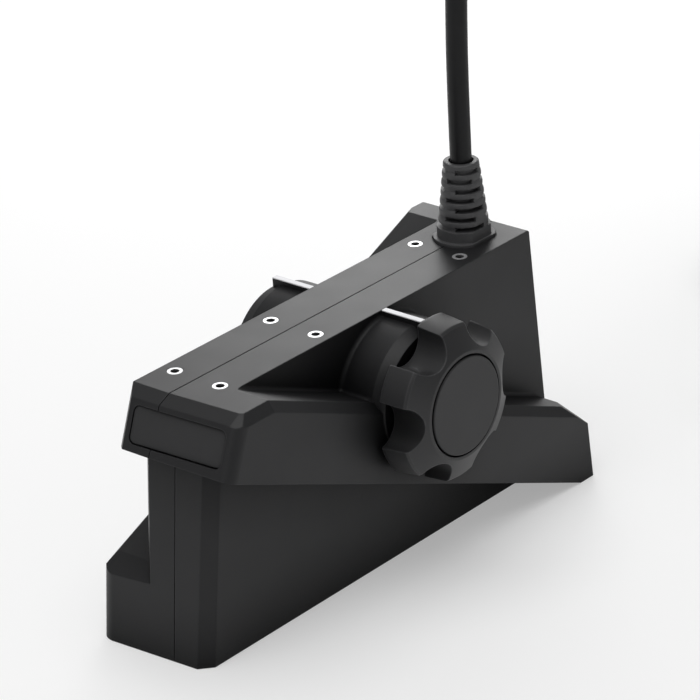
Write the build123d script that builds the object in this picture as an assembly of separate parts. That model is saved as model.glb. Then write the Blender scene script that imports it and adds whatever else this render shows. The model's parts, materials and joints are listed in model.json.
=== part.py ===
from build123d import *
import math
import os

# Sonar transducer, millimetres. X runs along the housing from the near head to the cable end,
# -Y is the side with the clamp knob, Z is up from the sole. The origin is the middle of the sole.

# Housing outline
TOP_Z = 105.0
SOLE_LENGTH = 203.8
HALF = SOLE_LENGTH / 2
SOLE_HALF_WIDTH = 15.2
TOP_HALF_WIDTH = 17.5
NEAR_LEAN = 6.4
FAR_LEAN = 6.2
NEAR_SHIFT = 1.2
NEAR_TURN = 3.5
FIN_CORNER = 4.5

# Tilted wings, one on each side, each the other turned half round
WING_REACH = 36.5
WING_TILT = 22.8
WING_TOP_MID = 71.8
WING_DEPTH = 29.8
WING_END_FACE = 25.7
WING_END_ANGLE = 53.1
EDGE_BEVEL = 3.5
LEFT_TOP_BEVEL = 2.0
CORNER_ROUND = 5.0
FOOT_ROUND = 7.0
FOOT_END_IN = 1.0
FOOT_END_Z = 27.3
FOOT_END_ANGLE = 36.2
FACET_IN = 2.1
FACET_Z = 23.5
FACET_FACING = (0.608, -0.280, 0.742)
JUNCTION_ROUND = 1.4

# Near head, which stands out past the fin
HEAD_SETBACK = 7.5
HEAD_TOP_X = HEAD_SETBACK - HALF
HEAD_BEVEL_OUT = 5.6
HEAD_BEVEL_DOWN = 2.6
HEAD_TURN = 3.0
HEAD_LEFT_CORNER = 4.0
HEAD_DEPTH = 10.4
HEAD_CORNER_BACK = 1.7
HEAD_CORNER_IN = 4.7
HEAD_CORNER_FACING = (-0.8, -0.6, 1.77)
HEAD_FOOT_ROUND = 2.0
FAR_TOP_BEVEL = 0.6

# Seam between the two moulded halves
SEAM_GAP = 0.3
SEAM_DEPTH = 0.8

# Pivot bosses with the angle index ribs
PIVOT_X = 3.2
PIVOT_Z = 75.6
BOSS_RADIUS = 27.0
BOSS_PROUD = 0.7
BOSS_REACH = WING_REACH + BOSS_PROUD
BOSS_BEVEL_LENGTH = 5.0
BOSS_BEVEL_DEPTH = 2.0
RIB_THICKNESS = 2.5
RIB_SETBACK = 1.1
RIB_REACH = BOSS_REACH - RIB_SETBACK
MARK_DEPTH = 0.4

# Cover plate let into the near face
PLATE_WIDTH = 42.0
PLATE_HEIGHT = 13.6
PLATE_CORNER = 2.4
PLATE_THICKNESS = 1.2
PLATE_SUNK = 0.9
PLATE_GAP = 0.3
PLATE_LIFT = 0.15
PLATE_Y = -10.0
PLATE_Z = 94.0

# Threaded inserts in the top
NEAR_INSERT_IN = 22.2
MIDDLE_INSERT_X = -27.7
FAR_INSERT_IN = 45.7
INSERT_XS = (NEAR_INSERT_IN - HALF, MIDDLE_INSERT_X, HALF - FAR_INSERT_IN)
INSERT_HALF_PITCH = 10.9
INSERT_RADIUS = 2.9
INSERT_BORE = 1.65
INSERT_LENGTH = 9.0
INSERT_HOLE_DEPTH = 10.0

# Pivot inserts and knob stud, M8
PIVOT_INSERT_RADIUS = 7.0
PIVOT_INSERT_LENGTH = 20.0
STUD_RADIUS = 4.0
STUD_CLEARANCE = 0.08
THREAD_PITCH = 1.25
KNOB_TURNS = 6.0

# Clamp knob and its washer
RUNNING_GAP = 0.3
WASHER_RADIUS = 15.0
WASHER_THICKNESS = 1.5
KNOB_RADIUS = 31.6
KNOB_FRONT_RADIUS = 30.5
KNOB_RIM = 11.0
KNOB_CONE = 4.5
KNOB_BACK = BOSS_REACH + RUNNING_GAP + WASHER_THICKNESS + RUNNING_GAP
KNOB_RIM_FRONT = KNOB_BACK + KNOB_RIM
KNOB_FACE = KNOB_RIM_FRONT + KNOB_CONE
KNOB_LOBES = 6
SCALLOP_RADIUS = 9.1
SCALLOP_CENTRE = 31.6
KNOB_EDGE = 1.1
RIM_BEVEL = 0.7
KNOB_HUB_RADIUS = 16.0
KNOB_WALL = 3.0
KNOB_RIB = 2.4
KNOB_HOLLOW_DEPTH = 7.0
CAP_RADIUS = 19.0
CAP_THICKNESS = 2.2
CAP_PROUD = 0.5
CAP_GAP = 0.7
CAP_EDGE = 0.5
STUD_IN_KNOB = 9.0

# Sonar elements in each wing
WINDOW_WALL = 3.0
ARRAY_HALF_LENGTH = 56.0
ARRAY_INNER = 18.8
ARRAY_WALL = 3.2
LENS_THICKNESS = 2.0
ELEMENT_THICKNESS = 3.0
BACKING_THICKNESS = 10.0
BOARD_THICKNESS = 1.6
CAVITY_DEPTH = 20.5
CAVITY_GAP = 0.2

# Signal board standing in the seam
SIGNAL_HALF_LENGTH = 66.0
SIGNAL_BOTTOM = 8.0
SIGNAL_TOP = 52.0
SIGNAL_EDGE = 2.0
SIGNAL_POCKET = 6.0
CHIP_HEIGHT = 1.8
CHIP_BOTTOM = 14.0
CHIPS = ((-48.0, 14.0), (-20.0, 18.0), (12.0, 18.0), (42.0, 14.0))
BACK_CHIP_IN = 3.0
BACK_CHIP_UP = 2.0

# Cable, its gland and its strain relief
CABLE_FROM_END = 29.3
CABLE_X = HALF - CABLE_FROM_END
CABLE_RADIUS = 4.2
BORE_CLEARANCE = 0.1
BOOT_HEIGHT = 31.5
BOOT_LOW_RADIUS = 9.4
BOOT_TOP_RADIUS = 6.9
BOOT_COLLAR_RADIUS = 10.4
BOOT_COLLAR_HEIGHT = 5.3
BOOT_FLAT = 8.9
BOOT_FLANGE_RADIUS = 12.0
BOOT_FLANGE_HEIGHT = 1.0
BOOT_SUNK = 1.0
BOOT_GAP = 0.3
BOOT_SLOTS = 7
BOOT_LOW_SLOT = 6.2
BOOT_TOP_SLOT = 28.6
BOOT_SLOT_HEIGHT = 1.9
BOOT_SLOT_SPAN = 80.0
BOOT_SLOT_STAGGER = 14.25
BOOT_SLOT_FACING = 225.0
BOOT_WALL = 1.0
BOOT_BULGE = 0.38
BOOT_TOP_ROUND = 0.8
BOOT_MOUTH_RADIUS = 4.8
BOOT_MOUTH_DEPTH = 3.0
GLAND_RADIUS = 8.0
GLAND_DEPTH = 15.0
GLAND_BOTTOM = TOP_Z - GLAND_DEPTH
GLAND_FLANGE_RADIUS = 10.0
GLAND_FLANGE_UP = 5.0
GLAND_FLANGE_BOTTOM = GLAND_BOTTOM + GLAND_FLANGE_UP
GLAND_FLANGE_HEIGHT = 4.0
SEAL_RADIUS = 6.2
SEAL_HEIGHT = 3.0
CLAMP_LENGTH = 20.0
CLAMP_WIDTH = 13.0
CLAMP_HEIGHT = 7.0
CLAMP_DROP = 4.0
CLAMP_BOTTOM = GLAND_BOTTOM - CLAMP_DROP - CLAMP_HEIGHT
CABLE_END_DROP = 9.0
CABLE_INNER_END = CLAMP_BOTTOM - CABLE_END_DROP
CHAMBER_DEPTH = 40.0
CHAMBER_BOTTOM = GLAND_BOTTOM - CHAMBER_DEPTH

# Put-away hank of the cable and the plug on its end
HANK_X = 338.0
HANK_Y = -8.6
HANK_STRAIGHT = 75.0
HANK_LANES = 3
HANK_LAYERS = 5
HANK_FOLD_RADIUS = 24.0
TIE_THICKNESS = 1.6
TIE_WIDTH = 9.0
TIE_GAP = 0.2
TIE_ROUND = 0.6
TIE_PLACE = 3.0
LEAD_IN = 30.0
TAIL_START = 15.0
TAIL_LENGTH = 38.0
PLUG_RADIUS = 7.2
PLUG_LENGTH = 40.0
NUT_RADIUS = 8.2
NUT_LENGTH = 15.0
NUT_RIDGES = 12
PLUG_SOCKET_RADIUS = 5.4
PLUG_SOCKET_DEPTH = 6.0

SIN_TILT = math.sin(math.radians(WING_TILT))
COS_TILT = math.cos(math.radians(WING_TILT))
BIG = 3 * SOLE_LENGTH


def box(x0, x1, y0, y1, z0, z1):
    """A block between two corners."""
    middle = ((x0 + x1) / 2, (y0 + y1) / 2, (z0 + z1) / 2)
    return Pos(*middle) * Box(x1 - x0, y1 - y0, z1 - z0)


def trim(solid, point, outward):
    """The solid with everything outside a plane cut away."""
    return split(solid, bisect_by=Plane(origin=point, z_dir=outward), keep=Keep.BOTTOM)


def lean(angle, way, turn=0):
    """Outward normal of an end face that leans out towards the sole, turned about Z."""
    out = math.cos(math.radians(angle))
    turn = math.radians(turn)
    return (way * out * math.cos(turn), way * out * math.sin(turn), math.sin(math.radians(angle)))


def post(radius, x, y, z0, z1):
    """An upright cylinder."""
    return Pos(x, y, (z0 + z1) / 2) * Cylinder(radius, z1 - z0)


def pivot_disc(radius, y0, y1):
    """A cylinder on the pivot axis, between two distances from the seam."""
    return Pos(PIVOT_X, (y0 + y1) / 2, PIVOT_Z) * Rot(90, 0, 0) * Cylinder(radius, abs(y1 - y0))


def half_turn(solid):
    """The same piece on the other wing."""
    return Rot(0, 0, 180) * solid


def swapped(plane):
    """The same plane, given as (point, outward normal), on the other wing."""
    (x, y, z), (nx, ny, nz) = plane
    return ((-x, -y, z), (-nx, -ny, nz))


def turned(plane, angle):
    """A plane turned about Z round its own point."""
    point, (nx, ny, nz) = plane
    angle = math.radians(angle)
    cos, sin = math.cos(angle), math.sin(angle)
    return (point, (nx * cos - ny * sin, nx * sin + ny * cos, nz))


# Planes of a wing, as (point, outward normal)
TOP_PLANE = ((0, 0, TOP_Z), (0, 0, 1))
SLOPE = ((0, 0, WING_TOP_MID), (SIN_TILT, 0, COS_TILT))
UNDERSIDE = ((0, 0, WING_TOP_MID - WING_DEPTH / COS_TILT), (-SIN_TILT, 0, -COS_TILT))
NEAR_END = ((-HALF - NEAR_SHIFT, 0, 0), lean(NEAR_LEAN, -1, NEAR_TURN))
FAR_END = ((HALF, 0, 0), lean(FAR_LEAN, 1))
END_EDGE = (HALF - WING_END_FACE * math.tan(math.radians(FAR_LEAN)), 0, WING_END_FACE)
END_CHAMFER = (END_EDGE, lean(90 - WING_END_ANGLE, 1))
FOOT_CHAMFER = ((HALF - FOOT_END_IN, 0, FOOT_END_Z), lean(90 - FOOT_END_ANGLE, 1))
HEAD_EDGE = (HEAD_TOP_X - HEAD_BEVEL_OUT, 0, TOP_Z - HEAD_BEVEL_DOWN)
HEAD_FACE = (HEAD_EDGE, (-COS_TILT, 0, SIN_TILT))
HEAD_BEVEL = ((HEAD_TOP_X, 0, TOP_Z), (-HEAD_BEVEL_DOWN, 0, HEAD_BEVEL_OUT))
HEAD_SIDE_FACE = turned(HEAD_FACE, HEAD_TURN)
HEAD_SIDE_BEVEL = turned(HEAD_BEVEL, HEAD_TURN)
HEAD_CORNER_AT = (HEAD_TOP_X + HEAD_CORNER_BACK, HEAD_CORNER_IN - WING_REACH, TOP_Z)
HEAD_CORNER = (HEAD_CORNER_AT, HEAD_CORNER_FACING)
END_FACET = ((HALF - FACET_IN, -WING_REACH, FACET_Z), FACET_FACING)
FAR_TOP_X = HALF - TOP_Z * math.tan(math.radians(FAR_LEAN))
FAR_BEVEL = ((FAR_TOP_X - FAR_TOP_BEVEL, 0, TOP_Z), (1, 0, 1))
DRAFT = TOP_HALF_WIDTH - SOLE_HALF_WIDTH
RIGHT_SIDE = ((0, -TOP_HALF_WIDTH, TOP_Z), (0, -TOP_Z, -DRAFT))
LEFT_SIDE = ((0, TOP_HALF_WIDTH, TOP_Z), (0, TOP_Z, -DRAFT))


def side_bevel(plane, size):
    """The 45 degree bevel between a wing's side and one of its other planes."""
    point, outward = plane
    length = math.dist(outward, (0, 0, 0))
    return (
        (point[0], -(WING_REACH - size), point[2]),
        (outward[0] / length, -1, outward[2] / length),
    )


def wing_blank(low_end):
    """The -Y wing with only the end that stands on the floor cut."""
    return trim(box(-BIG / 4, BIG / 4, -WING_REACH, 0, 0, TOP_Z), *low_end)


def shape_wing(wing, end_chamfer, upper_end):
    """The wing cut to its slope, underside and ends: high at the near end, low at the far end."""
    for plane in (SLOPE, UNDERSIDE, end_chamfer, upper_end):
        wing = trim(wing, *plane)
    return wing


def round_upright(wing, x, z, radius):
    """The wing with the upright edge near a point of its side rounded."""
    side = wing.edges().filter_by_position(Axis.Y, -WING_REACH - 0.01, -WING_REACH + 0.01)
    return fillet(side.sort_by_distance((x, -WING_REACH, z))[0], radius)


def make_right_wing():
    """The wing whose upper end is the near head."""
    wing = shape_wing(wing_blank(FAR_END), END_CHAMFER, HEAD_SIDE_FACE)
    wing = round_upright(wing, HEAD_EDGE[0], PLATE_Z, CORNER_ROUND)
    for plane in (TOP_PLANE, SLOPE):
        wing = trim(wing, *side_bevel(plane, EDGE_BEVEL))
    for plane in (END_FACET, HEAD_SIDE_BEVEL, HEAD_CORNER):
        wing = trim(wing, *plane)
    return wing


def make_left_wing():
    """The other wing, made on the same side and turned half round."""
    wing = round_upright(wing_blank(swapped(NEAR_END)), HALF, WING_END_FACE / 2, FOOT_ROUND)
    wing = shape_wing(wing, FOOT_CHAMFER, swapped(FAR_END))
    wing = round_upright(wing, -FAR_TOP_X, PLATE_Z, CORNER_ROUND)
    wing = trim(wing, *side_bevel(TOP_PLANE, LEFT_TOP_BEVEL))
    wing = trim(wing, *side_bevel(SLOPE, EDGE_BEVEL))
    return half_turn(trim(wing, *swapped(FAR_BEVEL)))


def make_core():
    """The upright fin, from the sole to the top, slightly narrower at the sole."""
    core = box(-BIG / 4, BIG / 4, -TOP_HALF_WIDTH, TOP_HALF_WIDTH, 0, TOP_Z)
    for plane in (RIGHT_SIDE, LEFT_SIDE, NEAR_END, FAR_END):
        core = trim(core, *plane)
    upright = core.edges().filter_by(lambda e: abs(e.bounding_box().size.Z) > TOP_Z / 2)
    core = chamfer(upright.sort_by(Axis.X)[:2], FIN_CORNER)
    return trim(core, *FAR_BEVEL)


def make_head():
    """The near head, which shares the wing's sloping planes and the fin's left side."""
    inner = HEAD_TOP_X + HEAD_DEPTH
    head = box(-BIG / 4, inner, -SOLE_HALF_WIDTH, TOP_HALF_WIDTH, 0, TOP_Z)
    for plane in (UNDERSIDE, HEAD_FACE, LEFT_SIDE):
        head = trim(head, *plane)
    upright = head.edges().filter_by(lambda e: e.bounding_box().size.Z > 1).sort_by_distance(
        (HEAD_EDGE[0], TOP_HALF_WIDTH, PLATE_Z)
    )[0]
    head = chamfer(upright, HEAD_LEFT_CORNER)
    for plane in (HEAD_SIDE_FACE, HEAD_BEVEL, HEAD_SIDE_BEVEL):
        head = trim(head, *plane)
    return head


def make_bosses():
    """Both pivot bosses as one bar on the pivot axis."""
    bar = pivot_disc(BOSS_RADIUS, -BOSS_REACH, BOSS_REACH)
    rims = bar.edges().filter_by(GeomType.CIRCLE)
    for rim in rims:
        face = bar.faces().filter_by(Axis.Y).sort_by_distance(rim.center())[0]
        bar = chamfer(
            bar.edges().filter_by(GeomType.CIRCLE).sort_by_distance(rim.center())[0],
            BOSS_BEVEL_DEPTH,
            BOSS_BEVEL_LENGTH,
            reference=face,
        )
    return bar


def index_ribs():
    """The ribs on top of both bosses, under their white marks."""
    half = RIB_THICKNESS / 2
    top = TOP_Z - MARK_DEPTH
    return box(PIVOT_X - half, PIVOT_X + half, -RIB_REACH, RIB_REACH, PIVOT_Z, top)


def index_mark(side):
    """The white strip on a rib's top edge."""
    ends = sorted((side * TOP_HALF_WIDTH, side * RIB_REACH))
    half = RIB_THICKNESS / 2
    return box(PIVOT_X - half, PIVOT_X + half, *ends, TOP_Z - MARK_DEPTH, TOP_Z)


def lies_on(edge, plane):
    """True where both ends and the middle of an edge are on a plane."""
    point, outward = plane
    length = math.dist(outward, (0, 0, 0))
    for place in (0, 0.5, 1):
        at = edge @ place - Vector(*point)
        if abs(at.dot(Vector(*outward))) / length > 0.01:
            return False
    return True


def lies_on_boss(edge):
    """True where the ends and the middle of an edge are on the bosses' cylinder."""
    for place in (0, 0.5, 1):
        at = edge @ place
        if abs(math.hypot(at.X - PIVOT_X, at.Z - PIVOT_Z) - BOSS_RADIUS) > 0.01:
            return False
    return True


def inner_corners(body):
    """The edges in which a side of the fin, a wing's slope and a boss meet."""
    found = []
    for edge in body.edges():
        for side, slope in ((RIGHT_SIDE, SLOPE), (LEFT_SIDE, swapped(SLOPE))):
            meets = (lies_on(edge, side), lies_on(edge, slope), lies_on_boss(edge))
            if sum(meets) > 1:
                found.append(edge)
    return found


def head_foot(body):
    """The edges in which the fin's near face meets the head's underside."""
    return [e for e in body.edges() if lies_on(e, NEAR_END) and lies_on(e, UNDERSIDE)]


def make_body():
    """The whole outer form, before it is hollowed and parted."""
    body = make_core() + make_head() + make_right_wing() + make_left_wing() + make_bosses()
    body = fillet(inner_corners(body), JUNCTION_ROUND)
    body = fillet(head_foot(body), HEAD_FOOT_ROUND)
    return body + index_ribs()


def face_plane(sunk):
    """A plane along the head's near face, with X across and Y up the slope."""
    outward = Vector(*HEAD_SIDE_FACE[1])
    across = Vector(0, 0, 1).cross(outward).normalized()
    up = outward.cross(across)
    from_edge = (PLATE_Z - HEAD_EDGE[2]) / up.Z
    origin = Vector(*HEAD_EDGE) + across * (PLATE_Y / across.Y) + up * from_edge
    return Plane(origin=origin - outward * sunk, x_dir=across, z_dir=outward)


def make_end_plate(grow, outer, inner, lift=0):
    """A rounded plate in the near face, between two depths under it."""
    outline = RectangleRounded(PLATE_WIDTH + 2 * grow, PLATE_HEIGHT + 2 * grow, PLATE_CORNER + grow)
    return extrude(face_plane(inner) * Pos(0, lift) * outline, inner - outer)


# Wing frame: X down the slope, Z out of the wing's top, the underside at zero
WING_FRAME = Plane(
    origin=UNDERSIDE[0],
    x_dir=(COS_TILT, 0, -SIN_TILT),
    z_dir=(SIN_TILT, 0, COS_TILT),
)


def wing_block(half_length, y0, y1, low, high):
    """A block in the wing frame, at two heights above the underside."""
    return WING_FRAME.location * box(-half_length, half_length, y0, y1, low, high)


ARRAY_OUTER = WING_REACH - ARRAY_WALL
LENS_LOW = WINDOW_WALL
ELEMENT_LOW = LENS_LOW + LENS_THICKNESS
BACKING_LOW = ELEMENT_LOW + ELEMENT_THICKNESS
ARRAY_BOARD_LOW = BACKING_LOW + BACKING_THICKNESS


def array_piece(low, thickness):
    """One layer of the element stack in the -Y wing."""
    half_length = ARRAY_HALF_LENGTH
    return wing_block(half_length, -ARRAY_OUTER, -ARRAY_INNER, low, low + thickness)


def wing_cavity():
    """The room for the element stack, open to the seam."""
    reach = ARRAY_OUTER + CAVITY_GAP
    half_length = ARRAY_HALF_LENGTH + CAVITY_GAP
    return wing_block(half_length, -reach, 0, WINDOW_WALL, WINDOW_WALL + CAVITY_DEPTH)


def signal_pocket():
    """The room for the signal board's parts, and the groove that holds its edges."""
    inner = SIGNAL_HALF_LENGTH - SIGNAL_EDGE
    outer = SIGNAL_HALF_LENGTH + CAVITY_GAP
    depth = BOARD_THICKNESS / 2 + CAVITY_GAP / 2
    low, high = SIGNAL_BOTTOM + SIGNAL_EDGE, SIGNAL_TOP - SIGNAL_EDGE
    pocket = box(-inner, inner, -SIGNAL_POCKET, SIGNAL_POCKET, low, high)
    groove = box(
        -outer, outer, -depth, depth, SIGNAL_BOTTOM - CAVITY_GAP, SIGNAL_TOP + CAVITY_GAP
    )
    return pocket + groove


def make_signal_board():
    """The board in the seam with its processors and capacitors."""
    half = BOARD_THICKNESS / 2
    board = box(-SIGNAL_HALF_LENGTH, SIGNAL_HALF_LENGTH, -half, half, SIGNAL_BOTTOM, SIGNAL_TOP)
    for x, size in CHIPS:
        low, high = CHIP_BOTTOM, CHIP_BOTTOM + size
        board += box(x, x + size, -half - CHIP_HEIGHT, -half, low, high)
        x0, x1 = x + BACK_CHIP_IN, x + size - BACK_CHIP_IN
        z0, z1 = low + BACK_CHIP_UP, high - BACK_CHIP_UP
        board += box(x0, x1, half, half + CHIP_HEIGHT, z0, z1)
    return board


def cable_chamber():
    """The room under the gland for the cable and its clamp."""
    half_length = CLAMP_LENGTH / 2 + CAVITY_GAP
    half_width = CLAMP_WIDTH / 2 + CAVITY_GAP
    return box(
        CABLE_X - half_length,
        CABLE_X + half_length,
        -half_width,
        half_width,
        CHAMBER_BOTTOM,
        GLAND_BOTTOM,
    )


def make_gland(grow):
    """The gland bush held between the halves under the boot."""
    top = TOP_Z - BOOT_SUNK
    flange_top = GLAND_FLANGE_BOTTOM + GLAND_FLANGE_HEIGHT
    bush = post(GLAND_RADIUS + grow, CABLE_X, 0, GLAND_BOTTOM, top)
    flange = post(
        GLAND_FLANGE_RADIUS + grow, CABLE_X, 0, GLAND_FLANGE_BOTTOM - grow, flange_top + grow
    )
    return bush + flange


def gland_bush():
    bore = post(CABLE_RADIUS + BORE_CLEARANCE, CABLE_X, 0, 0, TOP_Z)
    seat = post(SEAL_RADIUS + BORE_CLEARANCE, CABLE_X, 0, 0, GLAND_BOTTOM + SEAL_HEIGHT)
    return make_gland(0) - bore - seat


def gland_seal():
    ring = post(SEAL_RADIUS, CABLE_X, 0, GLAND_BOTTOM, GLAND_BOTTOM + SEAL_HEIGHT)
    return ring - post(CABLE_RADIUS + BORE_CLEARANCE / 2, CABLE_X, 0, 0, TOP_Z)


def cable_clamp():
    """The block that grips the cable under the gland."""
    block = box(
        CABLE_X - CLAMP_LENGTH / 2,
        CABLE_X + CLAMP_LENGTH / 2,
        -CLAMP_WIDTH / 2,
        CLAMP_WIDTH / 2,
        CLAMP_BOTTOM,
        CLAMP_BOTTOM + CLAMP_HEIGHT,
    )
    return block - post(CABLE_RADIUS + BORE_CLEARANCE, CABLE_X, 0, 0, TOP_Z)


def boot_flange(grow, z0, z1):
    """The boot's round base with two flats along the housing."""
    flange = post(BOOT_FLANGE_RADIUS + grow, CABLE_X, 0, z0, z1)
    flat = BOOT_FLAT + BOOT_FLANGE_HEIGHT + grow
    return flange & box(CABLE_X - BIG, CABLE_X + BIG, -flat, flat, z0, z1)


BOOT_FOOT = TOP_Z - BOOT_SUNK
BOOT_TOP = TOP_Z + BOOT_HEIGHT
BOOT_PITCH = (BOOT_TOP_SLOT - BOOT_LOW_SLOT) / (BOOT_SLOTS - 1)


def boot_slot(number):
    """One level of slots in the boot: three round the sleeve, turned to and fro in turn."""
    z = TOP_Z + BOOT_LOW_SLOT + number * BOOT_PITCH
    inner, outer = BOOT_MOUTH_RADIUS + BOOT_WALL, BOOT_FLANGE_RADIUS
    half = BOOT_SLOT_HEIGHT / 2
    section = Polyline(
        (inner, z - half), (outer, z - half), (outer, z + half), (inner, z + half), (inner, z - half)
    )
    ring = revolve(Plane.XZ * make_face(section), Axis.Z, revolution_arc=BOOT_SLOT_SPAN)
    way = -1 if number % 2 else 1
    start = BOOT_SLOT_FACING + way * BOOT_SLOT_STAGGER - BOOT_SLOT_SPAN / 2
    cuts = [Pos(CABLE_X, 0, 0) * Rot(0, 0, start + third * 120) * ring for third in range(3)]
    return cuts[0] + cuts[1] + cuts[2]


def boot_profile():
    """Half the sleeve's outline: a bulging ring between every two slots, and a rounded top."""
    low = TOP_Z + BOOT_LOW_SLOT
    step = (BOOT_LOW_RADIUS - BOOT_TOP_RADIUS) / (BOOT_SLOTS - 1)
    outline = Polyline((0, BOOT_FOOT), (BOOT_LOW_RADIUS, BOOT_FOOT), (BOOT_LOW_RADIUS, low))
    for ring in range(BOOT_SLOTS - 1):
        r0 = BOOT_LOW_RADIUS - ring * step
        z0 = low + ring * BOOT_PITCH
        middle = (r0 - step / 2 + BOOT_BULGE, z0 + BOOT_PITCH / 2)
        outline += ThreePointArc((r0, z0), middle, (r0 - step, z0 + BOOT_PITCH))
    r1, z1 = BOOT_TOP_RADIUS, low + (BOOT_SLOTS - 1) * BOOT_PITCH
    shoulder = BOOT_TOP - BOOT_TOP_ROUND
    outline += Line((r1, z1), (r1 + BOOT_BULGE / 2, z1 + BOOT_BULGE))
    outline += Line((r1 + BOOT_BULGE / 2, z1 + BOOT_BULGE), (r1, shoulder))
    side = r1 - BOOT_TOP_ROUND
    corner = (side + BOOT_TOP_ROUND * math.sqrt(0.5), shoulder + BOOT_TOP_ROUND * math.sqrt(0.5))
    outline += ThreePointArc((r1, shoulder), corner, (side, BOOT_TOP))
    outline += Polyline((side, BOOT_TOP), (0, BOOT_TOP), (0, BOOT_FOOT))
    return outline


def cable_boot():
    """The tapered strain relief on its flat-sided collar."""
    boot = Pos(CABLE_X, 0, 0) * revolve(Plane.XZ * make_face(boot_profile()), Axis.Z)
    boot += post(BOOT_COLLAR_RADIUS, CABLE_X, 0, BOOT_FOOT, TOP_Z + BOOT_COLLAR_HEIGHT)
    boot &= box(CABLE_X - BIG, CABLE_X + BIG, -BOOT_FLAT, BOOT_FLAT, BOOT_FOOT, BOOT_TOP)
    boot += boot_flange(0, BOOT_FOOT, TOP_Z + BOOT_FLANGE_HEIGHT)
    for number in range(BOOT_SLOTS):
        boot -= boot_slot(number)
    boot -= post(BOOT_MOUTH_RADIUS, CABLE_X, 0, BOOT_TOP - BOOT_MOUTH_DEPTH, BOOT_TOP + 1)
    return boot - post(CABLE_RADIUS + BORE_CLEARANCE, CABLE_X, 0, 0, BOOT_TOP + 1)


def top_insert(x, y, grow, length):
    return post(INSERT_RADIUS + grow, x, y, TOP_Z - length, TOP_Z)


def pivot_insert(side):
    inner = BOSS_REACH - PIVOT_INSERT_LENGTH
    sleeve = pivot_disc(PIVOT_INSERT_RADIUS, side * inner, side * BOSS_REACH)
    bore = pivot_disc(STUD_RADIUS + STUD_CLEARANCE, side * (inner - 1), side * (BOSS_REACH + 1))
    return sleeve - bore


def seam_groove():
    """A shallow groove round the edge of the seam, seen as the parting line."""
    outline = section(make_core() + make_head(), section_by=Plane.XZ)
    around = offset(outline, SEAM_GAP) - offset(outline, -SEAM_DEPTH)
    groove = extrude(around, SEAM_GAP / 2, both=True)
    return trim(groove, (0, 0, SEAM_DEPTH), (0, 0, -1))


def hollow(body):
    """The housing with its pockets, bores and the seats of everything it holds."""
    body -= wing_cavity()
    body -= half_turn(wing_cavity())
    body -= signal_pocket()
    body -= cable_chamber()
    body -= make_gland(CAVITY_GAP / 2)
    body -= boot_flange(BOOT_GAP, BOOT_FOOT, TOP_Z + 1)
    body -= make_end_plate(PLATE_GAP, -2, PLATE_SUNK + PLATE_THICKNESS)
    for x in INSERT_XS:
        for side in (-1, 1):
            body -= top_insert(x, side * INSERT_HALF_PITCH, 0, INSERT_HOLE_DEPTH)
    for side in (-1, 1):
        inner = BOSS_REACH - PIVOT_INSERT_LENGTH
        body -= pivot_disc(PIVOT_INSERT_RADIUS, side * inner, side * (BOSS_REACH + 1))
    return body - seam_groove()


def knob_disc(radius, y0, y1):
    """A disc on the pivot axis on the knob's side, between two distances from the seam."""
    return pivot_disc(radius, -y0, -y1)


def knob_outline():
    """The lobed outline, with its tips rounded."""
    outline = Circle(KNOB_RADIUS + KNOB_EDGE / 4)
    for lobe in range(KNOB_LOBES):
        angle = math.radians(lobe * 360 / KNOB_LOBES)
        x, z = SCALLOP_CENTRE * math.cos(angle), SCALLOP_CENTRE * math.sin(angle)
        outline -= Pos(x, z) * Circle(SCALLOP_RADIUS)
    return fillet(outline.vertices(), KNOB_EDGE)


def knob_hollow():
    """The moulded recess in the knob's back, crossed by ribs."""
    inner = SCALLOP_CENTRE - SCALLOP_RADIUS - KNOB_WALL
    depth = KNOB_BACK + KNOB_HOLLOW_DEPTH
    ring = knob_disc(inner, KNOB_BACK - 1, depth) - knob_disc(KNOB_HUB_RADIUS, 0, depth)
    for rib in range(KNOB_LOBES // 2):
        bar = Box(2 * inner + 1, 2 * depth, KNOB_RIB)
        ring -= Pos(PIVOT_X, -KNOB_BACK, PIVOT_Z) * Rot(0, 30 + rib * 360 / KNOB_LOBES, 0) * bar
    return ring


def make_knob():
    """Six-lobed knob: a scalloped rim, a raised cone round the cap, hollow and ribbed behind."""
    face_radius = CAP_RADIUS + CAP_GAP + 1.2
    slope = (KNOB_FACE - KNOB_RIM_FRONT) / (KNOB_FRONT_RADIUS - face_radius)
    profile = Polyline(
        (0, KNOB_BACK),
        (KNOB_RADIUS, KNOB_BACK),
        (KNOB_FRONT_RADIUS, KNOB_RIM_FRONT - RIM_BEVEL),
        (KNOB_FRONT_RADIUS - RIM_BEVEL, KNOB_RIM_FRONT + slope * RIM_BEVEL),
        (face_radius, KNOB_FACE),
        (0, KNOB_FACE),
        (0, KNOB_BACK),
    )
    cone = Rot(90, 0, 0) * (Pos(0, 0, KNOB_BACK) * extrude(knob_outline(), KNOB_FACE - KNOB_BACK))
    turned = Rot(180, 0, 0) * revolve(Plane.XY * make_face(profile), Axis.Y)
    knob = Pos(PIVOT_X, 0, PIVOT_Z) * (cone & turned)
    knob -= knob_hollow()
    knob += knob_disc(WASHER_RADIUS, washer_front() + RUNNING_GAP / 2, KNOB_BACK)
    seat = KNOB_FACE - CAP_THICKNESS
    knob -= knob_disc(CAP_RADIUS + CAP_GAP, seat, KNOB_FACE + 1)
    knob -= knob_disc(STUD_RADIUS, 0, KNOB_BACK + STUD_IN_KNOB)
    return knob


def washer_front():
    return BOSS_REACH + RUNNING_GAP + WASHER_THICKNESS


def knob_cap():
    cap = knob_disc(CAP_RADIUS, KNOB_FACE - CAP_THICKNESS, KNOB_FACE + CAP_PROUD)
    rim = cap.edges().filter_by(GeomType.CIRCLE).sort_by(Axis.Y)[0]
    return fillet(rim, CAP_EDGE)


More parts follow.
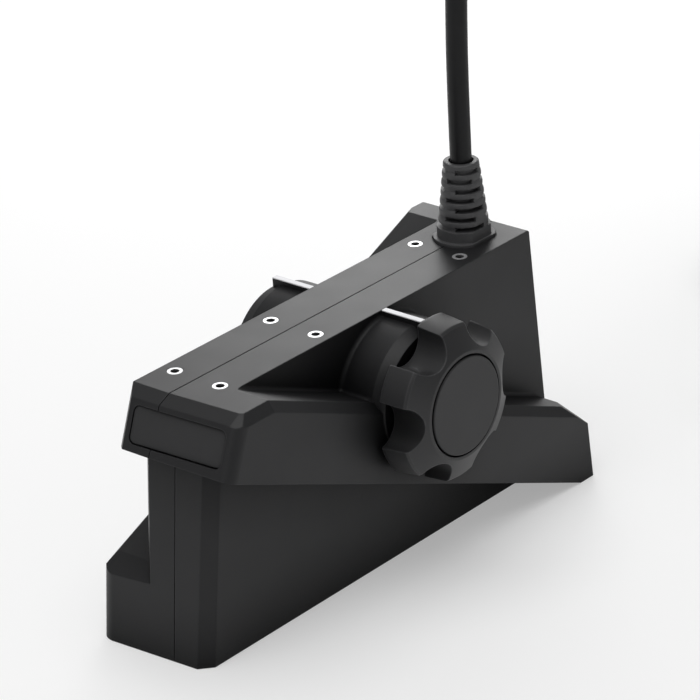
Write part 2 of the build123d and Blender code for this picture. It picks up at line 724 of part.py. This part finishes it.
def knob_stud():
    return knob_disc(STUD_RADIUS, BOSS_REACH - PIVOT_INSERT_LENGTH + 1, KNOB_BACK + STUD_IN_KNOB)


def knob_washer():
    ring = knob_disc(WASHER_RADIUS, BOSS_REACH + RUNNING_GAP, washer_front())
    return ring - knob_disc(STUD_RADIUS + STUD_CLEARANCE, BOSS_REACH, KNOB_BACK)


# Hank of the cable: lanes side by side, layers on each other, lying on its ties
CABLE_DIAMETER = 2 * CABLE_RADIUS
HANK_LOW = TIE_THICKNESS + TIE_GAP
FIRST_LANE_Z = HANK_LOW + CABLE_RADIUS
HANK_HIGH = HANK_LOW + HANK_LAYERS * CABLE_DIAMETER
OUTER_LANE = HANK_FOLD_RADIUS + (HANK_LANES - 1) * CABLE_DIAMETER
MIDDLE_LANE = HANK_FOLD_RADIUS + CABLE_DIAMETER
ENTRY_X = HANK_X - HANK_STRAIGHT / 2 - LEAD_IN
ENTRY_Y = HANK_Y - OUTER_LANE
TAIL_Z = HANK_HIGH + CABLE_RADIUS
TAIL_X = HANK_X - HANK_STRAIGHT / 2 + TAIL_START
TAIL_Y = HANK_Y - MIDDLE_LANE
PLUG_X = TAIL_X + TAIL_LENGTH
PLUG_Z = HANK_HIGH + NUT_RADIUS


def stadium(radius, z0, z1):
    """A flat-sided loop shape round the hank's middle."""
    outline = Pos(HANK_X, HANK_Y, z0) * SlotCenterToCenter(HANK_STRAIGHT, 2 * radius)
    return extrude(outline, z1 - z0)


def x_rod(radius, x0, x1, y, z):
    """A cylinder along X."""
    return Pos((x0 + x1) / 2, y, z) * Rot(0, 90, 0) * Cylinder(radius, x1 - x0)


def cable_hank():
    """The turns as one loop, with the lead-in lane and the last half turn on top."""
    outer = stadium(OUTER_LANE + CABLE_RADIUS, HANK_LOW, HANK_HIGH)
    outer = fillet(outer.edges().group_by(Axis.Z)[0] + outer.edges().group_by(Axis.Z)[-1], CABLE_RADIUS * 0.8)
    loop = outer - stadium(HANK_FOLD_RADIUS - CABLE_RADIUS, HANK_LOW - 1, HANK_HIGH + 1)
    loop += x_rod(CABLE_RADIUS, ENTRY_X, ENTRY_X + LEAD_IN, ENTRY_Y, FIRST_LANE_Z)
    top = stadium(MIDDLE_LANE + CABLE_RADIUS, HANK_HIGH, HANK_HIGH + CABLE_DIAMETER)
    top -= stadium(MIDDLE_LANE - CABLE_RADIUS, HANK_HIGH, HANK_HIGH + CABLE_DIAMETER)
    turn_end = HANK_X - HANK_STRAIGHT / 2
    top &= box(HANK_X - BIG, turn_end, HANK_Y - BIG, HANK_Y + BIG, HANK_HIGH, TOP_Z)
    top += x_rod(CABLE_RADIUS, turn_end, TAIL_X, TAIL_Y, TAIL_Z)
    return loop + top


def hank_tie(x0, side, high):
    """A flat strap round one of the hank's straight sides."""
    t = TIE_THICKNESS
    y = HANK_Y + side * (HANK_FOLD_RADIUS + OUTER_LANE) / 2
    width = OUTER_LANE - HANK_FOLD_RADIUS + CABLE_DIAMETER + 2 * TIE_GAP
    height = high + TIE_GAP - t
    across = Plane(origin=(x0, y, t + height / 2), x_dir=(0, 1, 0), z_dir=(1, 0, 0))
    outer = RectangleRounded(width + 2 * t, height + 2 * t, TIE_ROUND + t)
    inner = RectangleRounded(width, height, TIE_ROUND)
    return extrude(across * (outer - inner), TIE_WIDTH)


def cable_route():
    """The free lead: up out of the boot, over in an arch, down past the far end and into the hank."""
    return [
        (CABLE_X, 0, BOOT_TOP),
        (CABLE_X, 0, 168),
        (CABLE_X + 0.6, -0.4, 198),
        (CABLE_X + 2.0, -0.8, 225),
        (91.5, -9.5, 251),
        (119.5, -25.0, 263),
        (147.5, -40.5, 251),
        (165.5, -50.0, 222),
        (168.0, -51.4, 178),
        (168.5, -50.4, 135),
        (167.2, -50.9, 92),
        (169.5, -50.4, 49),
        (185.5, -51.0, 21.5),
        (218.0, ENTRY_Y - 1.2, 6.4),
        (245.0, ENTRY_Y, FIRST_LANE_Z),
        (ENTRY_X, ENTRY_Y, FIRST_LANE_Z),
    ]


def tail_route():
    """From the last turn to the plug, which lies on the hank."""
    return [
        (TAIL_X, TAIL_Y, TAIL_Z),
        (TAIL_X + TAIL_LENGTH * 0.34, TAIL_Y, TAIL_Z),
        (TAIL_X + TAIL_LENGTH * 0.66, TAIL_Y, PLUG_Z),
        (PLUG_X, TAIL_Y, PLUG_Z),
    ]


def tube(points):
    """A round cable along straight runs joined by the largest arcs that fit."""
    corners = [Vector(*p) for p in points]
    radii = []
    for before, corner, after in zip(corners, corners[1:], corners[2:]):
        turn = (corner - before).get_angle(after - corner)
        run = min((corner - before).length, (after - corner).length)
        radii.append(0.45 * run / math.tan(math.radians(turn / 2)))
    path = FilletPolyline(*corners, radius=radii)
    start = Plane(origin=path @ 0, z_dir=path % 0)
    cable = sweep(start * Circle(CABLE_RADIUS), path=path)
    length = path.length
    wanted = math.pi * CABLE_RADIUS**2 * length
    print("cable run", round(length, 1), "volume ratio", round(cable.volume / wanted, 4))
    print("radii", [round(r) for r in radii])
    return cable


def plug_body():
    """The plug's overmould with a tapered tail, and the socket for its pins."""
    profile = Polyline(
        (0, 0),
        (CABLE_RADIUS + 1.2, 0),
        (PLUG_RADIUS, PLUG_LENGTH * 0.4),
        (PLUG_RADIUS, PLUG_LENGTH * 0.62),
        (PLUG_RADIUS - 1.6, PLUG_LENGTH * 0.64),
        (PLUG_RADIUS - 1.6, PLUG_LENGTH),
        (0, PLUG_LENGTH),
        (0, 0),
    )
    body = revolve(Plane.XY * make_face(profile), Axis.Y)
    body -= Pos(0, PLUG_LENGTH - PLUG_SOCKET_DEPTH / 2, 0) * Rot(90, 0, 0) * Cylinder(
        PLUG_SOCKET_RADIUS - 0.9, PLUG_SOCKET_DEPTH
    )
    return Pos(PLUG_X, TAIL_Y, PLUG_Z) * Rot(0, 0, -90) * body


def plug_pins():
    """The insulator disc with its ring of contact pins."""
    base = PLUG_X + PLUG_LENGTH - PLUG_SOCKET_DEPTH
    pins = x_rod(PLUG_SOCKET_RADIUS - 1.0, base, base + 1.5, TAIL_Y, PLUG_Z)
    for pin in range(8):
        angle = math.radians(pin * 45)
        y = TAIL_Y + 2.8 * math.cos(angle)
        z = PLUG_Z + 2.8 * math.sin(angle)
        pins += x_rod(0.5, base + 1.0, base + 5.0, y, z)
    return pins


def plug_nut():
    """The knurled locking ring that turns on the plug."""
    x0 = PLUG_X + PLUG_LENGTH * 0.66
    nut = x_rod(NUT_RADIUS, x0, x0 + NUT_LENGTH, TAIL_Y, PLUG_Z)
    nut -= x_rod(PLUG_RADIUS - 1.6 + 0.15, x0 - 1, x0 + NUT_LENGTH + 1, TAIL_Y, PLUG_Z)
    for ridge in range(NUT_RIDGES):
        angle = math.radians((ridge + 0.5) * 360 / NUT_RIDGES)
        y = TAIL_Y + (NUT_RADIUS + 0.5) * math.cos(angle)
        z = PLUG_Z + (NUT_RADIUS + 0.5) * math.sin(angle)
        nut -= x_rod(1.1, x0 + 2, x0 + NUT_LENGTH + 1, y, z)
    return nut


def build():
    """Every sub-part by name."""
    body = hollow(make_body())
    nodes = {
        "housing_right": split(body, bisect_by=Plane.XZ, keep=Keep.TOP),
        "housing_left": split(body, bisect_by=Plane.XZ, keep=Keep.BOTTOM),
        "end_plate": make_end_plate(0, PLATE_SUNK, PLATE_SUNK + PLATE_THICKNESS, PLATE_LIFT),
    }
    number = 0
    for x in INSERT_XS:
        for side in (-1, 1):
            number += 1
            y = side * INSERT_HALF_PITCH
            sleeve = top_insert(x, y, 0, INSERT_LENGTH)
            nodes[f"top_insert_{number}"] = sleeve - post(INSERT_BORE, x, y, 0, TOP_Z + 1)
    for name, side in (("right", -1), ("left", 1)):
        nodes[f"pivot_insert_{name}"] = pivot_insert(side)
        nodes[f"index_mark_{name}"] = index_mark(side)
    stack = {
        "acoustic_lens": (LENS_LOW, LENS_THICKNESS),
        "sonar_array": (ELEMENT_LOW, ELEMENT_THICKNESS),
        "array_backing": (BACKING_LOW, BACKING_THICKNESS),
        "array_board": (ARRAY_BOARD_LOW, BOARD_THICKNESS),
    }
    for name, (low, thickness) in stack.items():
        nodes[f"{name}_right"] = array_piece(low, thickness)
        nodes[f"{name}_left"] = half_turn(array_piece(low, thickness))
    nodes["signal_board"] = make_signal_board()
    nodes["cable_gland"] = gland_bush()
    nodes["gland_seal"] = gland_seal()
    nodes["cable_clamp"] = cable_clamp()
    nodes["cable_boot"] = cable_boot()
    nodes["cable_core"] = post(CABLE_RADIUS, CABLE_X, 0, CABLE_INNER_END, BOOT_TOP)
    nodes["clamp_knob"] = make_knob()
    nodes["knob_cap"] = knob_cap()
    nodes["knob_stud"] = knob_stud()
    nodes["knob_washer"] = knob_washer()
    nodes["cable_lead"] = tube(cable_route())
    nodes["cable_hank"] = cable_hank()
    nodes["cable_tail"] = tube(tail_route())
    nodes["plug_body"] = plug_body()
    nodes["plug_pins"] = plug_pins()
    nodes["plug_nut"] = plug_nut()
    turn_end = HANK_X - HANK_STRAIGHT / 2
    nodes["hank_tie_1"] = hank_tie(turn_end + TIE_PLACE, -1, HANK_HIGH + CABLE_DIAMETER)
    nodes["hank_tie_2"] = hank_tie(HANK_X, 1, HANK_HIGH)
    return nodes


os.makedirs("parts", exist_ok=True)
for name, solid in build().items():
    export_step(solid, f"parts/{name}.step")
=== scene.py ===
import json
import math

import bpy
from mathutils import Matrix, Vector


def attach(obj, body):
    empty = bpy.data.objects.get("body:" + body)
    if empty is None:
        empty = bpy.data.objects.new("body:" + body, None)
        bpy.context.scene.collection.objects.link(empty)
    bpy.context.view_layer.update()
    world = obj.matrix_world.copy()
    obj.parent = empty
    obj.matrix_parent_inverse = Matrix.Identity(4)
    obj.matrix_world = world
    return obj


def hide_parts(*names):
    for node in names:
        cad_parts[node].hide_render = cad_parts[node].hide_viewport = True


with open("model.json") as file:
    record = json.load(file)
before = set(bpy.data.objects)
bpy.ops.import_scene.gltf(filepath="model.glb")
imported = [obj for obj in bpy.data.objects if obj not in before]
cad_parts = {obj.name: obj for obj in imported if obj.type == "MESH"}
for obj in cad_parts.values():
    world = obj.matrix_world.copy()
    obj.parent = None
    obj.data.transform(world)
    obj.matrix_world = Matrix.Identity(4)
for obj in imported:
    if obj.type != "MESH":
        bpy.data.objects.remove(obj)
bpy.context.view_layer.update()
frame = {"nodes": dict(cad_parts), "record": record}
nodes = frame["nodes"]
scene = bpy.context.scene

MM = 0.001
BLACK = (0, 0, 0, 1)
WHITE = (1, 1, 1, 1)

# Camera, at the photograph's viewpoint
CAMERA_TARGET = Vector((6.1, 2.86, 81.8)) * MM
CAMERA_AZIMUTH = math.radians(-48.37)
CAMERA_ELEVATION = math.radians(24.99)
CAMERA_ROLL = math.radians(-3.35)
CAMERA_DISTANCE = 1.4007
CAMERA_LENS = 192.2
CAMERA_SENSOR = 36.0
CAMERA_SIGHT = 50.0


def add_camera():
    """The camera stands at an azimuth and elevation round its target, slightly rolled."""
    flat = math.cos(CAMERA_ELEVATION)
    back = Vector(
        (
            math.sin(CAMERA_AZIMUTH) * flat,
            -math.cos(CAMERA_AZIMUTH) * flat,
            math.sin(CAMERA_ELEVATION),
        )
    )
    level = Vector((0, 0, 1)).cross(back).normalized()
    upright = back.cross(level)
    cos_roll, sin_roll = math.cos(CAMERA_ROLL), math.sin(CAMERA_ROLL)
    right = cos_roll * level + sin_roll * upright
    up = cos_roll * upright - sin_roll * level
    data = bpy.data.cameras.new("camera")
    data.lens = CAMERA_LENS
    data.sensor_width = CAMERA_SENSOR
    data.clip_end = CAMERA_SIGHT
    camera = bpy.data.objects.new("camera", data)
    turn = Matrix((right, up, back)).transposed().to_4x4()
    camera.matrix_world = Matrix.Translation(CAMERA_TARGET + CAMERA_DISTANCE * back) @ turn
    scene.collection.objects.link(camera)
    scene.camera = camera


add_camera()

# Cable, in millimetres: the free lead, the put-away hank and the tail to the plug
CABLE_RADIUS = 4.2
CABLE_DIAMETER = 2 * CABLE_RADIUS
CABLE_X = 72.6
BOOT_TOP = 136.5
HANK_X = 338.0
HANK_Y = -8.6
HANK_STRAIGHT = 75.0
HANK_LANES = 3
HANK_LAYERS = 5
HANK_FOLD_RADIUS = 24.0
FOLD_POINTS = 6
TIE_THICKNESS = 1.6
TIE_GAP = 0.2
LEAD_IN = 30.0
TAIL_START = 15.0
TAIL_LENGTH = 38.0
TAIL_BENDS = (0.34, 0.66)
NUT_RADIUS = 8.2
TUBE_STEPS = 8
CURVE_STEPS = 8
CURVE_ORDER = 3

HANK_LOW = TIE_THICKNESS + TIE_GAP
HANK_HIGH = HANK_LOW + HANK_LAYERS * CABLE_DIAMETER
FIRST_LANE_Z = HANK_LOW + CABLE_RADIUS
OUTER_LANE = HANK_FOLD_RADIUS + (HANK_LANES - 1) * CABLE_DIAMETER
ENTRY_X = HANK_X - HANK_STRAIGHT / 2 - LEAD_IN
ENTRY_Y = HANK_Y - OUTER_LANE
TAIL_X = HANK_X - HANK_STRAIGHT / 2 + TAIL_START
TAIL_Y = HANK_Y - HANK_FOLD_RADIUS - CABLE_DIAMETER
TAIL_Z = HANK_HIGH + CABLE_RADIUS
PLUG_Z = HANK_HIGH + NUT_RADIUS

# The lead rises straight out of the boot, arches over and comes down to the hank's lowest lane
LEAD = (
    (CABLE_X, 0, BOOT_TOP),
    (CABLE_X, 0, 168),
    (CABLE_X + 0.6, -0.4, 198),
    (CABLE_X + 2.0, -0.8, 225),
    (91.5, -9.5, 251),
    (119.5, -25.0, 263),
    (147.5, -40.5, 251),
    (165.5, -50.0, 222),
    (168.0, -51.4, 178),
    (168.5, -50.4, 135),
    (167.2, -50.9, 92),
    (169.5, -50.4, 49),
    (185.5, -51.0, 21.5),
    (218.0, ENTRY_Y - 1.2, 6.4),
    (245.0, ENTRY_Y, FIRST_LANE_Z),
    (ENTRY_X, ENTRY_Y, FIRST_LANE_Z),
)
TAIL = (
    (TAIL_X, TAIL_Y, TAIL_Z),
    (TAIL_X + TAIL_LENGTH * TAIL_BENDS[0], TAIL_Y, TAIL_Z),
    (TAIL_X + TAIL_LENGTH * TAIL_BENDS[1], TAIL_Y, PLUG_Z),
    (TAIL_X + TAIL_LENGTH, TAIL_Y, PLUG_Z),
)


def fold(radius, z, way):
    """Control points of a half turn at the hank's +X end (way 1) or -X end (way -1)."""
    step = math.pi / FOLD_POINTS
    reach = radius / math.cos(step / 2)
    points = []
    for number in range(FOLD_POINTS):
        angle = way * math.pi / 2 - math.pi + (number + 0.5) * step
        x = HANK_X + way * HANK_STRAIGHT / 2 + reach * math.cos(angle)
        points.append((x, HANK_Y + reach * math.sin(angle), z))
    return points


def straight(before, after, side):
    """Control points of a straight side, on which the turn moves to its next lane."""
    quarter = HANK_STRAIGHT / 4
    (radius_0, z_0), (radius_1, z_1) = before, after
    return [
        (HANK_X + side * quarter, HANK_Y + side * radius_0, z_0),
        (HANK_X - side * quarter, HANK_Y + side * radius_1, z_1),
    ]


def hank_turns():
    """Turns that fill the lanes from the outside in and back, layer by layer."""
    places = []
    for layer in range(HANK_LAYERS):
        lanes = range(HANK_LANES)
        for lane in lanes if layer % 2 else reversed(lanes):
            radius = HANK_FOLD_RADIUS + lane * CABLE_DIAMETER
            places.append((radius, FIRST_LANE_Z + layer * CABLE_DIAMETER))
    points = []
    before = places[0]
    for place in places:
        points += straight(before, place, -1)
        points += fold(*place, 1)
        if place == places[-1]:
            break
        points += straight(place, place, 1)
        points += fold(*place, -1)
        before = place
    top = (HANK_FOLD_RADIUS + CABLE_DIAMETER, TAIL_Z)
    points += straight(places[-1], top, 1)
    points += fold(*top, -1)
    return points


def add_cable():
    """One smooth curve from the boot to the plug, with every turn of the hank."""
    points = list(LEAD) + hank_turns() + list(TAIL)
    data = bpy.data.curves.new("cable", "CURVE")
    data.dimensions = "3D"
    # The bevel is multiplied by each point's radius, which also sets the curve's own box
    data.bevel_depth = 1.0
    data.bevel_resolution = TUBE_STEPS
    data.resolution_u = CURVE_STEPS
    data.use_fill_caps = True
    spline = data.splines.new("NURBS")
    spline.points.add(len(points) - 1)
    for place, point in zip(spline.points, points):
        place.co = (point[0] * MM, point[1] * MM, point[2] * MM, 1)
        place.radius = CABLE_RADIUS * MM
    spline.order_u = CURVE_ORDER
    spline.use_endpoint_u = True
    cable = bpy.data.objects.new("cable", data)
    scene.collection.objects.link(cable)
    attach(cable, "housing")
    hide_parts("cable_lead", "cable_hank", "cable_tail")
    return cable


cable = add_cable()

# Materials: where noise starts and ends to count, how an edge that gets a painted highlight or a
# corner that gets painted shade is told, and the size of rubber's grain in millimetres
NOISE_LOW = 0.3
NOISE_HIGH = 0.7
EDGE_START = 0.985
EDGE_FULL = 0.85
CORNER_SHUT = 0.35
CORNER_OPEN = 0.95
RUBBER_GRAIN = 0.6


def shade(colour, factor):
    """The colour made darker or lighter, with its alpha."""
    return tuple(min(1.0, part * factor) for part in colour) + (1,)


class Nodes:
    """A short way to build the node tree of a material or of the world."""

    def __init__(self, owner):
        owner.use_nodes = True
        self.owner = owner
        self.tree = owner.node_tree
        self.shader = self.tree.nodes.get("Principled BSDF")

    def add(self, kind, inputs=None, **settings):
        """A node with its settings, and its inputs set or linked."""
        node = self.tree.nodes.new("ShaderNode" + kind)
        for key, value in settings.items():
            setattr(node, key, value)
        for key, value in (inputs or {}).items():
            self.put(node, key, value)
        return node

    def put(self, node, key, value):
        """Links the input to a socket, or sets its value."""
        if isinstance(value, bpy.types.NodeSocket):
            self.tree.links.new(value, node.inputs[key])
        else:
            node.inputs[key].default_value = value

    def set(self, **inputs):
        """The shader's inputs, by their names in small letters."""
        for key, value in inputs.items():
            self.put(self.shader, key.replace("_", " ").title().replace("Ior", "IOR"), value)

    def math(self, operation, first, second):
        return self.add("Math", {0: first, 1: second}, operation=operation).outputs[0]

    def noise(self, scale, detail):
        at = self.add("TexCoord").outputs["Object"]
        inputs = {"Vector": at, "Scale": scale, "Detail": detail}
        return self.add("TexNoise", inputs).outputs["Fac"]

    def clouded(self, colour, scale, detail, dark, light, low=NOISE_LOW, high=NOISE_HIGH):
        """The colour, wandering between a darker and a lighter shade."""
        node = self.add("ValToRGB", {"Fac": self.noise(scale, detail)})
        first, last = node.color_ramp.elements
        first.position, first.color = low, shade(colour, dark)
        last.position, last.color = high, shade(colour, light)
        return node.outputs["Color"]

    def spread(self, scale, detail, low, high):
        """A value that wanders between two others."""
        return self.stretched(self.noise(scale, detail), NOISE_LOW, NOISE_HIGH, low, high)

    def stretched(self, value, from_min, from_max, to_min, to_max, **settings):
        inputs = {
            "Value": value,
            "From Min": from_min,
            "From Max": from_max,
            "To Min": to_min,
            "To Max": to_max,
        }
        return self.add("MapRange", inputs, **settings).outputs["Result"]

    def grain(self, scale, detail, strength, depth, normal=None):
        """A bumpy surface, of a depth in millimetres, on top of a softened normal."""
        inputs = {
            "Height": self.noise(scale, detail),
            "Strength": strength,
            "Distance": depth * MM,
        }
        if normal is not None:
            inputs["Normal"] = normal
        return self.add("Bump", inputs).outputs["Normal"]

    def soft_edge(self, radius):
        return self.add("Bevel", {"Radius": radius * MM}, samples=4).outputs["Normal"]

    def edges(self, soft):
        """1 where a softened edge turns away from its faces, 0 on the faces: the mask of the
        painted highlight on edges.
        """
        face = self.add("NewGeometry").outputs["Normal"]
        along = self.add("VectorMath", {0: soft, 1: face}, operation="DOT_PRODUCT")
        return self.stretched(along.outputs["Value"], EDGE_START, EDGE_FULL, 0, 1)

    def open_sky(self, reach, low, high):
        """From one value in tight corners to another where nothing stands near; it is used to paint
        shade into corners and hollows.
        """
        seen = self.add("AmbientOcclusion", {"Distance": reach * MM}, samples=4).outputs["AO"]
        return self.stretched(seen, CORNER_SHUT, CORNER_OPEN, low, high)

    def blend(self, share, first, second):
        return self.add("Mix", {0: share, 6: first, 7: second}, data_type="RGBA").outputs[2]


def moulded(
    name, colour, rough=0.45, grain=0.35, depth=0.05, edge=0.7, level=0.28, edge_highlight=1.6, reach=28.0
):
    """Moulded plastic: fine spark texture, faint clouding, a painted highlight on the edges, and
    painted shade in the corners, where the reflection is dimmed too.
    """
    m = Nodes(bpy.data.materials.new(name))
    soft = m.soft_edge(edge)
    cloud = m.clouded(colour, scale=22, detail=4, dark=0.93, light=1.07)
    # Painted highlight: softened edges get a lighter shade of the colour
    highlit_cloud = m.blend(m.edges(soft), cloud, shade(colour, edge_highlight))
    m.set(
        # Painted shade: the base colour goes to black in corners and near other things, and the
        # reflection level falls there too
        base_color=m.blend(m.open_sky(reach, 0.25, 1.0), BLACK, highlit_cloud),
        roughness=m.spread(scale=60, detail=3, low=rough - 0.015, high=rough + 0.015),
        normal=m.grain(scale=1 / (grain * MM), detail=2, strength=0.35, depth=depth, normal=soft),
        specular_ior_level=m.open_sky(reach, 0.15 * level, level),
    )
    return m.owner


def rubber(name, colour, rough=0.5, depth=0.04, edge=0.4):
    """Satin rubber or cast resin, with a fine grain and soft clouding."""
    m = Nodes(bpy.data.materials.new(name))
    soft = m.soft_edge(edge)
    m.set(
        base_color=m.clouded(colour, scale=70, detail=4, dark=0.85, light=1.15),
        roughness=m.spread(scale=300, detail=3, low=rough - 0.05, high=rough + 0.07),
        normal=m.grain(
            scale=1 / (RUBBER_GRAIN * MM), detail=3, strength=0.3, depth=depth, normal=soft
        ),
        specular_ior_level=0.4,
    )
    return m.owner


def metal(name, colour, metallic=1.0, reach=0.5):
    """Turned metal with a fine satin grain and light handling marks, and painted shade that makes
    the bores dark.
    """
    m = Nodes(bpy.data.materials.new(name))
    soft = m.soft_edge(0.15)
    satin = m.clouded(colour, scale=400, detail=4, dark=0.85, light=1.05)
    m.set(
        # Painted shade: the bores go black and lose their metal look and reflection
        base_color=m.blend(m.open_sky(reach, 0, 1), BLACK, satin),
        roughness=m.spread(scale=900, detail=3, low=0.28, high=0.38),
        metallic=m.open_sky(reach, 0, metallic),
        normal=m.grain(scale=2000, detail=2, strength=0.1, depth=0.01, normal=soft),
        specular_ior_level=m.open_sky(reach, 0, 0.5),
    )
    return m.owner


def cable_jacket():
    """Extruded jacket: near black and semi-gloss, with faint clouding and dust."""
    m = Nodes(bpy.data.materials.new("cable_jacket"))
    m.set(
        base_color=m.clouded((0.006, 0.006, 0.0065), scale=35, detail=4, dark=0.8, light=1.5),
        roughness=m.spread(scale=500, detail=3, low=0.3, high=0.42),
        normal=m.grain(scale=900, detail=3, strength=0.25, depth=0.03),
        specular_ior_level=0.2,
    )
    return m.owner


def ceramic():
    """Fired ceramic: matt, cream, lightly speckled."""
    m = Nodes(bpy.data.materials.new("element"))
    m.set(
        base_color=m.clouded((0.62, 0.56, 0.46), scale=500, detail=5, dark=0.8, light=1.1),
        roughness=m.spread(scale=300, detail=3, low=0.55, high=0.75),
        normal=m.grain(scale=1500, detail=3, strength=0.3, depth=0.03),
    )
    return m.owner


def board():
    """Lacquered circuit board, with the light and dark patches of its copper."""
    m = Nodes(bpy.data.materials.new("board"))
    green = (0.012, 0.11, 0.045)
    m.set(
        base_color=m.clouded(green, scale=160, detail=5, dark=0.7, light=1.2, low=0.42, high=0.5),
        roughness=m.spread(scale=300, detail=3, low=0.25, high=0.4),
        normal=m.grain(scale=700, detail=2, strength=0.3, depth=0.03),
    )
    return m.owner


# The knob and its cap get a strong painted highlight on their edges
MATERIALS = {
    "housing": moulded("housing", (0.016, 0.016, 0.017)),
    "end_plate": moulded("end_plate", (0.034, 0.034, 0.035), rough=0.38, grain=0.5),
    "knob": moulded("knob", (0.021, 0.021, 0.022), rough=0.4, edge=0.8, level=0.36, edge_highlight=3.5),
    "knob_cap": moulded("knob_cap", (0.022, 0.022, 0.023), rough=0.4, edge=0.4, edge_highlight=3.0),
    "plug": moulded("plug", (0.03, 0.03, 0.032), grain=0.5, edge=0.3),
    "tie": moulded("tie", (0.02, 0.02, 0.021), rough=0.6, grain=0.8, depth=0.15, edge=0.6),
    "white_mark": moulded("white_mark", (0.75, 0.75, 0.77), edge=0.2, edge_highlight=1.0, reach=1.0),
    "boot_rubber": rubber("boot_rubber", (0.058, 0.058, 0.06), edge=0.5),
    "lens": rubber("lens", (0.06, 0.062, 0.066), rough=0.35, edge=0.2),
    "backing": rubber("backing", (0.08, 0.075, 0.07), rough=0.7, depth=0.1, edge=0.2),
    "bright_metal": metal("bright_metal", (0.66, 0.66, 0.67), metallic=0.7, reach=5.0),
    "brass": metal("brass", (0.70, 0.52, 0.26)),
    "cable_jacket": cable_jacket(),
    "element": ceramic(),
    "board": board(),
}
OWN_MATERIAL = {"end_plate": "end_plate", "knob_cap": "knob_cap"}


def dress_nodes():
    """Every carried-over CAD node gets the material of its slot, or its own."""
    slots = {part["node"]: part["material_slot"] for part in frame["record"]["subparts"]}
    for name, obj in nodes.items():
        material = MATERIALS[OWN_MATERIAL.get(name, slots[name])]
        obj.data.materials.clear()
        obj.data.materials.append(material)


dress_nodes()
cable.data.materials.append(MATERIALS["cable_jacket"])

# Floor, world and lamps
FLOOR_HALF = 12.0
FLOOR_DROP = 0.0002
FLOOR_COLOUR = 0.95
FLOOR_WHITE = 0.35
BRIGHT_SIDE = (0.85, 0.42, 0.3)
BRIGHT_EDGE = 0.45
BRIGHT_CORE = 0.95
WORLD_DIM = 0.22
WORLD_BRIGHT = 0.36
LAMP_TARGET = Vector((0, 0, 0.05))


def add_floor():
    """A pale floor that keeps the object's shadow and is part white where it is only looked at."""
    data = bpy.data.meshes.new("floor")
    corners = [(x * FLOOR_HALF, y * FLOOR_HALF, 0) for x, y in ((-1, -1), (1, -1), (1, 1), (-1, 1))]
    data.from_pydata(corners, [], [(0, 1, 2, 3)])
    floor = bpy.data.objects.new("floor", data)
    floor.location.z = -FLOOR_DROP
    scene.collection.objects.link(floor)
    m = Nodes(bpy.data.materials.new("floor"))
    m.set(base_color=shade((1, 1, 1), FLOOR_COLOUR), roughness=0.9, specular_ior_level=0.0)
    rays = m.add("LightPath").outputs
    looked_at = m.math("MAXIMUM", rays["Is Camera Ray"], rays["Is Glossy Ray"])
    looked_at = m.math("MAXIMUM", looked_at, rays["Is Transmission Ray"])
    share = m.math("MULTIPLY", looked_at, FLOOR_WHITE)
    white = m.add("Emission", {"Color": WHITE, "Strength": 1.0})
    mixed = m.add("MixShader", {0: share, 1: m.shader.outputs[0], 2: white.outputs[0]})
    m.put(m.tree.nodes["Material Output"], "Surface", mixed.outputs[0])
    data.materials.append(m.owner)


def add_world():
    """A dim studio with a broad bright side towards the far end, low over the floor."""
    w = Nodes(bpy.data.worlds.new("world"))
    way = w.add("TexCoord").outputs["Generated"]
    side = Vector(BRIGHT_SIDE).normalized()
    toward = w.add("VectorMath", {0: way, 1: side}, operation="DOT_PRODUCT").outputs["Value"]
    strength = w.stretched(
        toward,
        BRIGHT_EDGE,
        BRIGHT_CORE,
        WORLD_DIM,
        WORLD_BRIGHT,
        interpolation_type="SMOOTHSTEP",
    )
    background = w.tree.nodes["Background"]
    w.put(background, "Color", WHITE)
    w.put(background, "Strength", strength)
    scene.world = w.owner


def add_lamp(name, place, size, energy):
    """A round area lamp, of a width in metres and a power in watts, that looks at the object."""
    data = bpy.data.lights.new(name, "AREA")
    data.shape = "DISK"
    data.size = size
    data.energy = energy
    lamp = bpy.data.objects.new(name, data)
    lamp.location = place
    lamp.rotation_euler = (LAMP_TARGET - Vector(place)).to_track_quat("-Z", "Y").to_euler()
    scene.collection.objects.link(lamp)


add_floor()
add_world()
add_lamp("key_lamp", (1.32, 1.14, 1.36), 2.2, 5)
add_lamp("far_lamp", (0.62, 0.46, 0.4), 0.4, 1.7)
add_lamp("fill_lamp", (-0.5, -0.2, 2.3), 2.4, 36)
add_lamp("left_lamp", (-1.8, -0.2, 1.2), 1.0, 3.8)

scene.view_settings.view_transform = "Standard"
